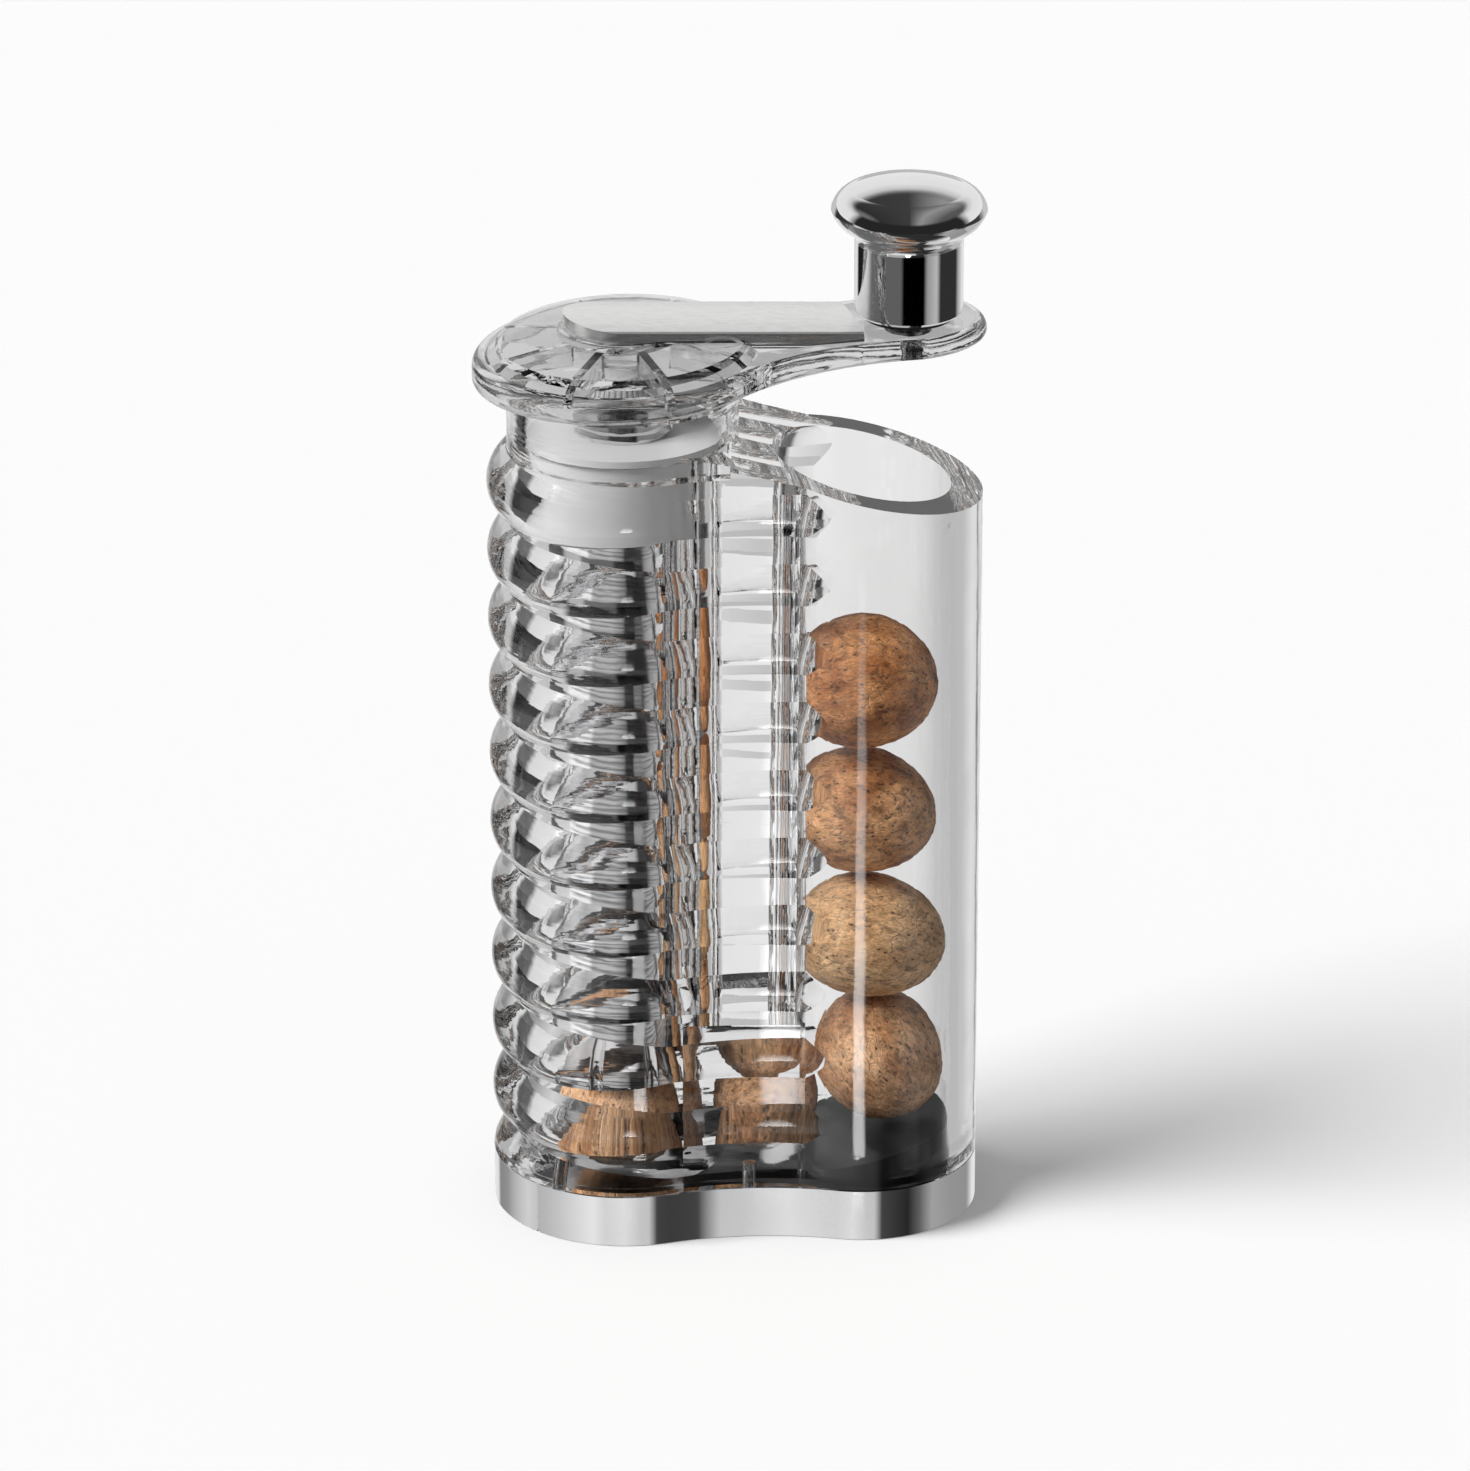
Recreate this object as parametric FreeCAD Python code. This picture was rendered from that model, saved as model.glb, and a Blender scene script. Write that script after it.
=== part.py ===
"""Hand-cranked nutmeg grater: a clear ribbed mill column joined to a clear store column for spare nutmegs.

Millimetres, +Z up. The origin is on the crank's axis, in the plane that the base cap stands on.
+X points from the mill column to the store column. Each piece has its own function below.
"""
import FreeCAD, Part
import math
import os
from FreeCAD import Vector

# ---- driving dimensions: the clear body ----
MILL_R = 18.8            # crest radius of the ribbed mill column
STORE_R = 16.3           # outer radius of the smooth store column
STORE_X = 33.2           # distance between the two columns' axes
WAIST_R = 45.0           # radius of the hollow curve that joins the two columns
RIB_DEPTH = 3.0
RIB_PITCH = 10.15
RIB_FIRST_Z = 6.85       # crest height of the lowest rib, half hidden by the base cap
RIB_COUNT = 11
VALLEY_R = 17.6          # the valleys are deepest on the left: their floor is a smaller outline of its own,
VALLEY_X = 1.5           # whose mill lobe stands this much nearer the store column
VALLEY_STORE_R = 15.2
VALLEY_WAIST_R = 46.2
MILL_BORE_R = 12.8
STORE_BORE_X = 32.8      # the store's bore is a little nearer the mill than its outside
STORE_BORE_TOP_R = 12.3  # the bore narrows upwards, for the moulding core to draw out
STORE_BORE_FOOT_R = 13.3
BODY_BOTTOM_Z = 4.2
MOUTH_Z = 110.5          # height of the sloping top on the store's axis
TOP_SLOPE_DEG = 13.3
WAIST_TOP_Z = 118.5      # above the sloping cut, so that the cut sets the height
NECK_R = 15.95
NECK_TOP_Z = 121.6
NECK_BORE_R = 13.4
BUSH_SEAT_Z = 115.0
PASSAGE_HALF_W = 10.3    # the way between the bores, for the next nutmeg
PASSAGE_TOP_Z = 31.0

# ---- the base ----
CAP_H = 7.4
CAP_WALL = 1.1
CAP_FLOOR = 1.0
CAP_GAP = 0.3            # all round, between cap and foot
PLATE_BOTTOM_Z = 2.2
BLADE_R = 12.5
BLADE_T = 0.8
BLADE_LIP_H = 0.5
OUTLET_R = 10.8
RAMP_R = 12.9
RAMP_HIGH_Z = 13.8
RAMP_SILL_Z = 7.4        # the level floor between the bores
PLATE_SCREW_R = 0.9

# ---- the spindle and what it carries ----
SPINDLE_R = 2.0
RUNNING_GAP = 0.08       # radial clearance of a shaft in its hole
HOLDER_R = 9.3
HOLDER_LOW_Z = 20.4
HOLDER_TOP_Z = 36.0
TUBE_R = 9.7             # bright plunger tube round the spring, fixed on the holder
TUBE_WALL = 0.4
TUBE_LOW_Z = 25.4
TUBE_TOP_Z = 103.4
SOCKET_LOW_Z = 24.1
SEAT_T = 0.8
SPRING_R, SPRING_WIRE_R, SPRING_TURNS = 4.6, 0.45, 17.0
WASHER_R = 6.8

# ---- the crank ----
DISC_R = 20.6
ARM_LENGTH = 40.5        # crank axis to knob axis
ARM_END_R = 10.8
ARM_WAIST_R = 34.0       # radius of the hollow curve between disc and arm
ARM_TURN_DEG = 14.8      # how far the crank stands turned from +X at rest
UNDER_Z, UNDER_RISE = 123.9, 0.047     # the crank's underside over the axis, and its rise per millimetre
TOP_Z, TOP_RISE = 127.2, 0.0264        # the same for its top, beside the crown
TOP_ROUND, UNDER_ROUND = 1.7, 0.5      # radii of the rounded edges
CROWN_R, CROWN_EDGE_Z, CROWN_Z = 17.0, 128.9, 130.1
BAR_HALF_W = 6.4
BAR_START = -8.2
BAR_TOP_Z = 131.8        # top of the raised bar over the crank's axis
BAR_FALL = 0.089         # how much the bar drops for each millimetre along the crank
BAR_T = 1.8
BAR_SUNK = 0.4
BAR_ARCH = 0.35
INSERT_LOW_Z, INSERT_HIGH_Z = 120.4, 123.4
INSERT_LOW_R, INSERT_HIGH_R = 6.0, 4.7
INSERT_DOME = 0.7        # how much the insert's top bulges
HUB_R = 3.0              # the boss between the insert and the crown
WEB_START_R, WEB_LOW_Z = 7.2, 124.6
KNURLS = 40
KNOB_R = 10.75
KNOB_NECK_R = 7.5
KNOB_RIM_Z = 144.0       # height of the knob's widest place
KNOB_TOP_Z = 148.2
KNOB_PIN_R = 1.8
KNOB_SLEEVE_R = 3.6
KNOB_SLEEVE_TOP_Z = 141.0

# ---- nutmegs: radius, blunt half, pointed half, centre, lean of the point from +Z, turn about +Z ----
NUTMEG_MILLED = (9.2, 8.3, 8.9)
NUTMEGS = {
    "nutmeg_feed": (7.8, 8.4, 8.9, (18.7, 0.0, 15.4), 84, 0),
    "nutmeg_store_1": (9.3, 9.6, 10.4, (35.7, 0.4, 22.3), 146, 0),
    "nutmeg_store_2": (9.0, 10.9, 11.4, (34.0, -1.0, 40.9), 96, 0),
    "nutmeg_store_3": (9.1, 11.0, 11.0, (33.1, 0.8, 59.2), 91, -10),
    "nutmeg_store_4": (9.6, 10.9, 10.9, (33.2, 0.2, 78.8), 84, -8),
}

# ---- sizes that follow ----
RAD = math.pi / 180
ORIGIN, UP = Vector(0, 0, 0), Vector(0, 0, 1)
STORE = Vector(STORE_X, 0, 0)
BUSH_LOW_Z = BUSH_SEAT_Z - 10.0
BUSH_TOP_Z = BUSH_SEAT_Z + 1.0
SPRING_HIGH_Z = BUSH_SEAT_Z - 1.0      # where the bush's hollow ends
SPRING_LOW_Z = HOLDER_TOP_Z + 0.1 + SEAT_T
STOP_WASHER_Z = BUSH_TOP_Z + 1.3
CLIP_Z = STOP_WASHER_Z + 0.5
ARM_TOP_Z = TOP_Z + TOP_RISE * (ARM_LENGTH + KNOB_NECK_R)      # under the knob, at the top's highest place
ARM_LOW_Z = UNDER_Z + UNDER_RISE * (ARM_LENGTH - KNOB_NECK_R / 2)
MILLED_Z = BODY_BOTTOM_Z + BLADE_LIP_H + 0.4 + NUTMEG_MILLED[1]
KNOB_AXIS = Vector(ARM_LENGTH * math.cos(ARM_TURN_DEG * RAD), ARM_LENGTH * math.sin(ARM_TURN_DEG * RAD), 0)


# ---- shapes that several pieces use ----
def cylinder(radius, low, high, centre=ORIGIN):
    return Part.makeCylinder(radius, high - low, Vector(centre.x, centre.y, low))


def ring(outer, inner, low, high, centre=ORIGIN):
    """A washer or sleeve."""
    return cylinder(outer, low, high, centre).cut(cylinder(inner, low - 1, high + 1, centre))


def fused(shapes):
    return shapes[0].multiFuse(shapes[1:]).removeSplitter()


def polyline(points):
    return [Part.makeLine(a, b) for a, b in zip(points, points[1:])]


def arc(a, middle, b):
    return Part.Arc(a, middle, b).toShape()


def revolved(edges, centre=ORIGIN, angle=360.0):
    """Turns a closed outline about the upright line through centre."""
    return Part.Face(Part.Wire(edges)).revolve(centre, UP, angle)


def turned_profile(points):
    """A round piece about the crank's axis, from its outline's radii and heights."""
    places = [Vector(r, 0, z) for r, z in points]
    return revolved(polyline(places + places[:1]))


def on_circle(radius, degrees, centre=ORIGIN):
    return centre + Vector(radius * math.cos(degrees * RAD), radius * math.sin(degrees * RAD), 0)


def side_slab(points, half_width):
    """An outline in the XZ plane made thick along Y, the same to both sides."""
    places = [Vector(x, 0, z) for x, z in points]
    slab = Part.Face(Part.Wire(polyline(places + places[:1]))).extrude(Vector(0, 2 * half_width, 0))
    slab.translate(Vector(0, -half_width, 0))
    return slab


def hollow_centre(r1, r2, distance, hollow_r):
    """Centre, on the +Y side, of the hollow curve that touches two circles of the X axis."""
    to_1, to_2 = r1 + hollow_r, r2 + hollow_r
    x = (distance ** 2 + to_1 ** 2 - to_2 ** 2) / (2 * distance)
    return Vector(x, math.sqrt(to_1 ** 2 - x ** 2), 0)


def two_lobes(r1, r2, distance, hollow_r, z):
    """Flat outline of two round ends joined by hollow curves: four tangent arcs."""
    centre = hollow_centre(r1, r2, distance, hollow_r)
    far = Vector(distance, 0, 0)
    on_1 = centre * (r1 / centre.Length)
    on_2 = far + (centre - far).normalize() * r2
    on_hollow = Vector(centre.x, centre.y - hollow_r, 0)

    def at(p, side=1):
        return Vector(p.x, side * p.y, z)

    return Part.Wire([
        arc(at(on_1), Vector(-r1, 0, z), at(on_1, -1)),
        arc(at(on_1, -1), at(on_hollow, -1), at(on_2, -1)),
        arc(at(on_2, -1), Vector(distance + r2, 0, z), at(on_2)),
        arc(at(on_2), at(on_hollow), at(on_1)),
    ])


def bean(inset, low, high):
    """A plate or block with the base's plan, drawn in by inset all round."""
    wire = two_lobes(MILL_R - 0.1 - inset, STORE_R - inset, STORE_X, WAIST_R + inset, low)
    return Part.Face(wire).extrude(UP * (high - low))


# ---- the clear body ----
def rib_edges(at_depth):
    """The ribs' rounded outline from the foot up. at_depth turns a depth and a height into a point."""
    half = RIB_PITCH / 2
    radius = (RIB_DEPTH ** 2 + half ** 2) / (2 * RIB_DEPTH)
    eighth = math.asin(half / radius) / 2
    middle = at_depth(radius - radius * math.cos(eighth), RIB_FIRST_Z + radius * math.sin(eighth))
    edges = [arc(at_depth(0, RIB_FIRST_Z), middle, at_depth(RIB_DEPTH, RIB_FIRST_Z + half))]
    for i in range(1, RIB_COUNT):
        crest = RIB_FIRST_Z + i * RIB_PITCH
        below, above = at_depth(RIB_DEPTH, crest - half), at_depth(RIB_DEPTH, crest + half)
        edges.append(arc(below, at_depth(0, crest), above))
    return edges


def ribbed_sector(centre, direction, crest, inner, top, outward, angle):
    """Part of the ribbed wall. Its section stands on the line from centre along direction, from the radius
    inner to the radius crest, and is turned by angle. outward is -1 where the wall's outside faces centre."""
    def at_depth(depth, z):
        return centre + direction * (crest - outward * depth) + UP * z

    def inside(z):
        return centre + direction * inner + UP * z

    last_valley = RIB_FIRST_Z + (RIB_COUNT - 0.5) * RIB_PITCH
    edges = [Part.makeLine(inside(RIB_FIRST_Z), at_depth(0, RIB_FIRST_Z))] + rib_edges(at_depth)
    edges += polyline([at_depth(RIB_DEPTH, last_valley), at_depth(RIB_DEPTH, top), inside(top),
                       inside(RIB_FIRST_Z)])
    return revolved(edges, centre, angle)


def above_the_slope():
    """Everything over the store's sloping top."""
    slope = math.tan(TOP_SLOPE_DEG * RAD)
    low = [(x, MOUTH_Z - (x - STORE_X) * slope) for x in (-30, 60)]
    return side_slab(low + [(60, 140), (-30, 140)], 30)


def store_bore():
    """The store's tapered bore, past both ends."""
    fall = (STORE_BORE_FOOT_R - STORE_BORE_TOP_R) / (MOUTH_Z - BODY_BOTTOM_Z)
    low, high = BODY_BOTTOM_Z - 5, MOUTH_Z + 15
    return Part.makeCone(STORE_BORE_FOOT_R + 5 * fall, STORE_BORE_TOP_R - 15 * fall, high - low,
                         Vector(STORE_BORE_X, 0, low))


def body_shell():
    """One clear moulding: ribbed mill column, smooth store column, neck, bores and the way between them."""
    core_r = 5.0         # the mill column's sectors reach in to here, inside the bore
    valley_top = RIB_FIRST_Z + (RIB_COUNT - 0.5) * RIB_PITCH
    centre = hollow_centre(MILL_R, STORE_R - 0.15, STORE_X, WAIST_R)
    lobe_angle = 360 - 2 * math.atan2(centre.y, centre.x) / RAD
    lobe = ribbed_sector(ORIGIN, Vector(centre).normalize(), MILL_R, core_r, valley_top + 0.4, 1, lobe_angle)
    hollow_angle = (math.atan2(centre.x, centre.y) + math.atan2(STORE_X - centre.x, centre.y)) / RAD
    waists = []
    for side in (1, -1):
        hub = Vector(centre.x, side * centre.y, 0)
        reach = WAIST_R + MILL_R - core_r
        to_mill = (ORIGIN - hub).normalize()
        waists.append(ribbed_sector(hub, to_mill, WAIST_R, reach, WAIST_TOP_Z, -1, side * hollow_angle))
    web = Part.makeBox(18, 12, WAIST_TOP_Z - RIB_FIRST_Z, Vector(7, -6, RIB_FIRST_Z))
    store = cylinder(STORE_R, BODY_BOTTOM_Z, WAIST_TOP_Z + 2, STORE)
    over = above_the_slope()
    neck = cylinder(NECK_R, valley_top - 3, NECK_TOP_Z)
    foot = bean(CAP_WALL + CAP_GAP, BODY_BOTTOM_Z, CAP_H + 0.3)
    step = bean(0.2, CAP_H + 0.2, CAP_H + 1.4)
    floor = two_lobes(VALLEY_R, VALLEY_STORE_R, STORE_X - VALLEY_X, VALLEY_WAIST_R, RIB_FIRST_Z)
    valleys = Part.Face(floor).extrude(UP * (WAIST_TOP_Z - RIB_FIRST_Z))
    valleys.translate(Vector(VALLEY_X, 0, 0))
    valleys = valleys.cut(Part.makeBox(40, 60, 20, Vector(NECK_R - 41, -30, valley_top + 0.3)))
    whole = fused([lobe, neck, foot, step] + [s.cut(over) for s in waists + [web, store, valleys]])
    foot_room = bean(CAP_WALL + CAP_GAP, BODY_BOTTOM_Z - 2, CAP_H + 1)
    beside_foot = bean(-6, BODY_BOTTOM_Z - 1, CAP_H + 0.2).cut(foot_room)
    passage = Part.makeBox(STORE_X, 2 * PASSAGE_HALF_W, PASSAGE_TOP_Z, Vector(0, -PASSAGE_HALF_W, 0))
    cuts = [cylinder(MILL_BORE_R, 0, NECK_TOP_Z + 5), cylinder(NECK_BORE_R, BUSH_SEAT_Z, NECK_TOP_Z + 5)]
    cuts += [store_bore(), passage] + screw_holes(PLATE_SCREW_R + 0.05, 0, 10.5)
    return whole.cut(beside_foot).cut(fused(cuts)).removeSplitter()


# ---- what is fixed in the body ----
def top_bush():
    """Milky cup that closes the top of the mill bore. It guides the spindle and the plunger tube, and the
    spring pushes against its top."""
    outer_r = MILL_BORE_R - 0.1
    skirt = cylinder(outer_r, BUSH_LOW_Z, BUSH_SEAT_Z + 0.5)
    flange = cylinder(NECK_BORE_R - 0.2, BUSH_SEAT_Z, BUSH_TOP_Z)
    hollow = cylinder(TUBE_R + 0.3, BUSH_LOW_Z - 1, SPRING_HIGH_Z)
    bore = cylinder(SPINDLE_R + RUNNING_GAP, BUSH_LOW_Z - 1, BUSH_TOP_Z + 1)
    catch_slot = Part.makeBox(4, 2.6, 7, Vector(TUBE_R - 1, -1.3, BUSH_LOW_Z + 1.5))
    return fused([skirt, flange]).cut(hollow).cut(bore).cut(catch_slot)


def bush_washer():
    return ring(WASHER_R, SPINDLE_R + 0.15, BUSH_TOP_Z + 0.02, BUSH_TOP_Z + 0.42)


def screw_places():
    return [on_circle(14.4, a) for a in (125, -125)] + [Vector(17.5, y, 0) for y in (12.2, -12.2)]


def screw_holes(radius, low, high):
    return [cylinder(radius, low, high, p) for p in screw_places()]


def bottom_plate():
    """Black plate under the body: it clamps the blade and leaves the outlet open."""
    plate = bean(CAP_WALL + CAP_GAP, PLATE_BOTTOM_Z, BODY_BOTTOM_Z - 0.02)
    cuts = [cylinder(OUTLET_R, 0, 10), cylinder(BLADE_R + 0.1, BODY_BOTTOM_Z - BLADE_T - 0.02, 10)]
    cuts += screw_holes(PLATE_SCREW_R + 0.15, 0, 10) + screw_holes(1.85, 0, PLATE_BOTTOM_Z + 0.8)
    return plate.cut(fused(cuts))


def plate_screws():
    """Four slotted screws that hold the plate to the body."""
    screws = []
    for p in screw_places():
        head = cylinder(1.7, PLATE_BOTTOM_Z + 0.05, PLATE_BOTTOM_Z + 0.78, p)
        shank = cylinder(PLATE_SCREW_R, PLATE_BOTTOM_Z + 0.5, 10.0, p)
        slot = Part.makeBox(4.0, 0.5, 0.4, Vector(p.x - 2.0, p.y - 0.25, PLATE_BOTTOM_Z))
        screws.append(fused([head, shank]).cut(slot))
    return Part.makeCompound(screws)


def feed_ramp():
    """Black wedge in the store's foot: its top slopes down so that nutmegs roll towards the mill."""
    gap = 0.15
    plug = cylinder(RAMP_R, BODY_BOTTOM_Z, RAMP_HIGH_Z + 5, Vector(STORE_BORE_X, 0, 0))
    half = PASSAGE_HALF_W - gap
    sill = Part.makeBox(STORE_X - 6, 2 * half, 12, Vector(6, -half, BODY_BOTTOM_Z))
    block = fused([plug, sill]).cut(cylinder(MILL_BORE_R, 0, 40))
    low_x, high_x = STORE_BORE_X - RAMP_R + 1, STORE_BORE_X + RAMP_R
    over = side_slab([(-5, RAMP_SILL_Z), (low_x, RAMP_SILL_Z), (high_x, RAMP_HIGH_Z), (high_x + 5, 40),
                      (-5, 40)], 20)
    return block.cut(over).removeSplitter()


def blade_disc():
    """Steel disc with one grating slot, the raised edge beside it and a ring of small holes."""
    low = BODY_BOTTOM_Z - BLADE_T
    disc = cylinder(BLADE_R, low, BODY_BOTTOM_Z)
    slot = Part.makeBox(9.4, 1.6, 4, Vector(0.4, -0.8, low - 1))
    edge_y = 0.8
    lip = Part.Face(Part.Wire(polyline([Vector(0.8, edge_y, BODY_BOTTOM_Z - 0.01),
                                        Vector(0.8, edge_y + 1.6, BODY_BOTTOM_Z - 0.01),
                                        Vector(0.8, edge_y, BODY_BOTTOM_Z + BLADE_LIP_H),
                                        Vector(0.8, edge_y, BODY_BOTTOM_Z - 0.01)]))).extrude(Vector(8.6, 0, 0))
    holes = [cylinder(0.6, low - 1, low + 3, on_circle(7.2, 40 + 20 * i)) for i in range(15)]
    return fused([disc.cut(slot).cut(fused(holes)), lip])


# ---- nutmegs ----
def placed_egg(radius, blunt, point, centre, lean=0.0, turn=0.0):
    """A turned egg shape. Along its own axis it reaches blunt below its centre and point above it."""
    halves = []
    for length, side in ((blunt, -1), (point, 1)):
        keep = Part.makeBox(60, 60, 30, Vector(-30, -30, min(0, 30 * side)))
        scale = FreeCAD.Matrix()
        scale.scale(1, 1, length / radius)
        halves.append(Part.makeSphere(radius).common(keep).transformGeometry(scale))
    shape = fused(halves)
    shape.rotate(ORIGIN, Vector(0, 1, 0), lean)
    shape.rotate(ORIGIN, UP, turn)
    shape.translate(Vector(*centre))
    return shape


def nutmeg_milled():
    """The nutmeg in the mill: it turns with the holder, so it is round about the crank's axis."""
    return placed_egg(*NUTMEG_MILLED, (0, 0, MILLED_Z))


# ---- the spindle and what it carries ----
def spindle():
    """Steel rod with a square foot in the holder and a groove for the clip."""
    square, foot_high = 3.0, HOLDER_TOP_Z + 6
    rod = cylinder(SPINDLE_R, foot_high, INSERT_HIGH_Z - 1.0)
    corner = Vector(-square / 2, -square / 2, SOCKET_LOW_Z + 0.1)
    foot = Part.makeBox(square, square, foot_high - SOCKET_LOW_Z, corner)
    groove = ring(SPINDLE_R + 1, 1.5, CLIP_Z - 0.05, CLIP_Z + 0.55)
    return fused([rod, foot]).cut(groove).cut(cylinder(0.95, SOCKET_LOW_Z - 1, SOCKET_LOW_Z + 7))


def stop_washer():
    return ring(WASHER_R, SPINDLE_R + 0.03, STOP_WASHER_Z, STOP_WASHER_Z + 0.45)


def retaining_clip():
    """Open ring in the spindle's groove, under the crank."""
    return ring(3.6, 1.53, CLIP_Z, CLIP_Z + 0.5).cut(Part.makeBox(5, 2, 2, Vector(0, -1, CLIP_Z - 1)))


def prong_places():
    return [on_circle(5.2, a) for a in range(0, 360, 90)]


def nutmeg_holder():
    """Steel cup that presses on the nutmeg, with a square socket for the spindle."""
    low = HOLDER_LOW_Z
    inside_tube = TUBE_R - TUBE_WALL - 0.04
    seat = TUBE_LOW_Z - 0.05
    cup = turned_profile([(0, low), (8.2, low), (HOLDER_R, low + 1.2), (HOLDER_R, seat), (inside_tube, seat),
                          (inside_tube, seat + 5), (6.4, seat + 7), (5.4, HOLDER_TOP_Z), (0, HOLDER_TOP_Z)])
    radius, blunt, point = NUTMEG_MILLED
    nutmeg_room = placed_egg(radius + 0.25, blunt, point + 0.25, (0, 0, MILLED_Z))
    socket = Part.makeBox(3.1, 3.1, 30, Vector(-1.55, -1.55, SOCKET_LOW_Z))
    screw_room = cylinder(2.9, low - 5, SOCKET_LOW_Z)
    flutes = [cylinder(1.1, low - 1, low + 4, on_circle(9.7, a)) for a in range(22, 360, 45)]
    prong_holes = [cylinder(0.55, low - 1, low + 6.1, p) for p in prong_places()]
    for cut in [nutmeg_room, socket, screw_room] + flutes + prong_holes:
        cup = cup.cut(cut)
    return cup


def plunger_tube():
    """Bright steel tube round the spring. It stands on the holder and rises into the bush with it."""
    tube = ring(TUBE_R, TUBE_R - TUBE_WALL, TUBE_LOW_Z, TUBE_TOP_Z)
    lip = ring(TUBE_R, TUBE_R - 2.0, TUBE_TOP_Z - 0.4, TUBE_TOP_Z)
    return tube.fuse(lip).removeSplitter()


def holder_prongs():
    """Four steel points that bite the nutmeg."""
    prongs = []
    for p in prong_places():
        shank = cylinder(0.54, HOLDER_LOW_Z - 1.2, HOLDER_LOW_Z + 6, p)
        point = Part.makeCone(0.05, 0.54, 2.0, Vector(p.x, p.y, HOLDER_LOW_Z - 3.2))
        prongs.append(fused([shank, point]))
    return Part.makeCompound(prongs)


def holder_screw():
    """Screw from inside the cup, up into the spindle's foot."""
    head = cylinder(2.6, SOCKET_LOW_Z - 0.75, SOCKET_LOW_Z - 0.02)
    return fused([head, cylinder(0.9, SOCKET_LOW_Z - 0.1, SOCKET_LOW_Z + 6.4)])


def spring_seat():
    return ring(6.0, SPINDLE_R + 0.25, SPRING_LOW_Z - SEAT_T, SPRING_LOW_Z)


def feed_spring():
    """Compression spring from the seat on the holder up into the bush."""
    low, high = SPRING_LOW_Z + SPRING_WIRE_R + 0.05, SPRING_HIGH_Z - SPRING_WIRE_R - 0.05
    helix = Part.makeHelix((high - low) / SPRING_TURNS, high - low, SPRING_R)
    first = helix.Edges[0]
    start, direction = first.valueAt(first.FirstParameter), first.tangentAt(first.FirstParameter)
    wire_end = Part.Wire(Part.Circle(start, direction, SPRING_WIRE_R).toShape())
    coil = Part.Wire(helix.Edges).makePipeShell([wire_end], True, True)
    coil.translate(Vector(0, 0, low))
    return coil


# ---- the crank, drawn along +X and then turned to where it stands ----
def turned(shape):
    shape.rotate(ORIGIN, UP, ARM_TURN_DEG)
    return shape


def bar_block(grow, low_offset, high_offset, rounded=False):
    """The strip along the crank's top, from behind the hub to the knob, wider by grow to each side. Its faces
    lie at the given offsets from the sloping plane of the raised bar's top. Rounded, its top is a low arch."""
    half, end = BAR_HALF_W + grow, ARM_LENGTH - KNOB_NECK_R - 0.5 + grow
    start = BAR_START - grow
    height = BAR_TOP_Z - BAR_FALL * start + high_offset

    def at(y, z):
        return Vector(start, y, height + z)

    foot = [at(half, low_offset - high_offset), at(-half, low_offset - high_offset)]
    if rounded:
        edges = polyline([at(half, 0)] + foot + [at(-half, -0.45)])
        edges.append(arc(at(-half, -0.45), at(-half + 0.13, -0.13), at(-half + 0.45, 0)))
        edges.append(arc(at(-half + 0.45, 0), at(0, BAR_ARCH), at(half, 0)))
    else:
        edges = polyline([at(half, 0)] + foot + [at(-half, 0), at(half, 0)])
    strip = Part.Face(Part.Wire(edges)).extrude(Vector(end - start, 0, -BAR_FALL * (end - start)))
    round_end = cylinder(half, 100, 160, Vector(start + half, 0, 0))
    rest = Part.makeBox(end + 20, 4 * half, 60, Vector(start + half, -2 * half, 100))
    return strip.common(fused([round_end, rest]))


def leaning(shape, rise):
    """Tips a piece of the crank up towards the knob, about the crank's axis."""
    shape.rotate(Vector(0, 0, TOP_Z), Vector(0, 1, 0), -math.atan(rise) / RAD)
    return shape


def crank_arm():
    """Clear crank: a disc with a shouldered crown, an arm, and ribs in the hollow round the hub."""
    plan = Part.Face(two_lobes(DISC_R, ARM_END_R, ARM_LENGTH, ARM_WAIST_R, UNDER_Z - 3)).extrude(UP * 8)
    ends = (-30, 60)
    slab = side_slab([(x, UNDER_Z + UNDER_RISE * x) for x in ends] +
                     [(x, TOP_Z + TOP_RISE * x) for x in reversed(ends)], 40)
    plate = plan.common(slab).removeSplitter()
    for above, radius in ((True, TOP_ROUND), (False, UNDER_ROUND)):
        face = max(plate.Faces, key=lambda f: f.CenterOfMass.z if above else -f.CenterOfMass.z)
        plate = plate.makeFillet(radius, face.Edges)
    crown = turned_profile([(0, TOP_Z - 1), (CROWN_R + 2, TOP_Z - 1), (CROWN_R + 2, TOP_Z - 0.1),
                            (CROWN_R, CROWN_EDGE_Z), (BAR_HALF_W + 1.2, CROWN_Z), (0, CROWN_Z)])
    ridge = bar_block(0.8, -BAR_T - 3.0, -BAR_T)
    ridge = ridge.cut(cylinder(CROWN_R + 40, 100, TOP_Z - 1))
    hollow = turned_profile([(0, 116), (17.6, 116), (17.6, 126.0), (16.4, 126.9), (8.0, CROWN_Z - 2.2),
                             (0, CROWN_Z - 2.2)])
    hub = cylinder(HUB_R, INSERT_HIGH_Z, CROWN_Z - 1)
    webs = []
    for i in range(8):
        web = Part.makeBox(20 - WEB_START_R, 1.2, 10, Vector(WEB_START_R, -0.6, WEB_LOW_Z))
        web.rotate(ORIGIN, UP, 7.7 + 45 * i)
        webs.append(web)
    hollow = leaning(hollow, TOP_RISE).cut(fused([hub] + webs))
    solid = fused([plate, leaning(crown, TOP_RISE), ridge]).cut(hollow).fuse(hub)
    pin_hole = cylinder(KNOB_PIN_R + 0.02, 120, 135, Vector(ARM_LENGTH, 0, 0))
    bar_room = bar_block(0.05, -BAR_T - BAR_SUNK - 0.05, 1)
    return turned(solid.cut(fused([insert_dome(0.03), pin_hole])).cut(bar_room).removeSplitter())


def arm_bar():
    """Plain raised strip let into the crank's top."""
    return turned(bar_block(0, -BAR_T - BAR_SUNK, 0, True))


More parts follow.
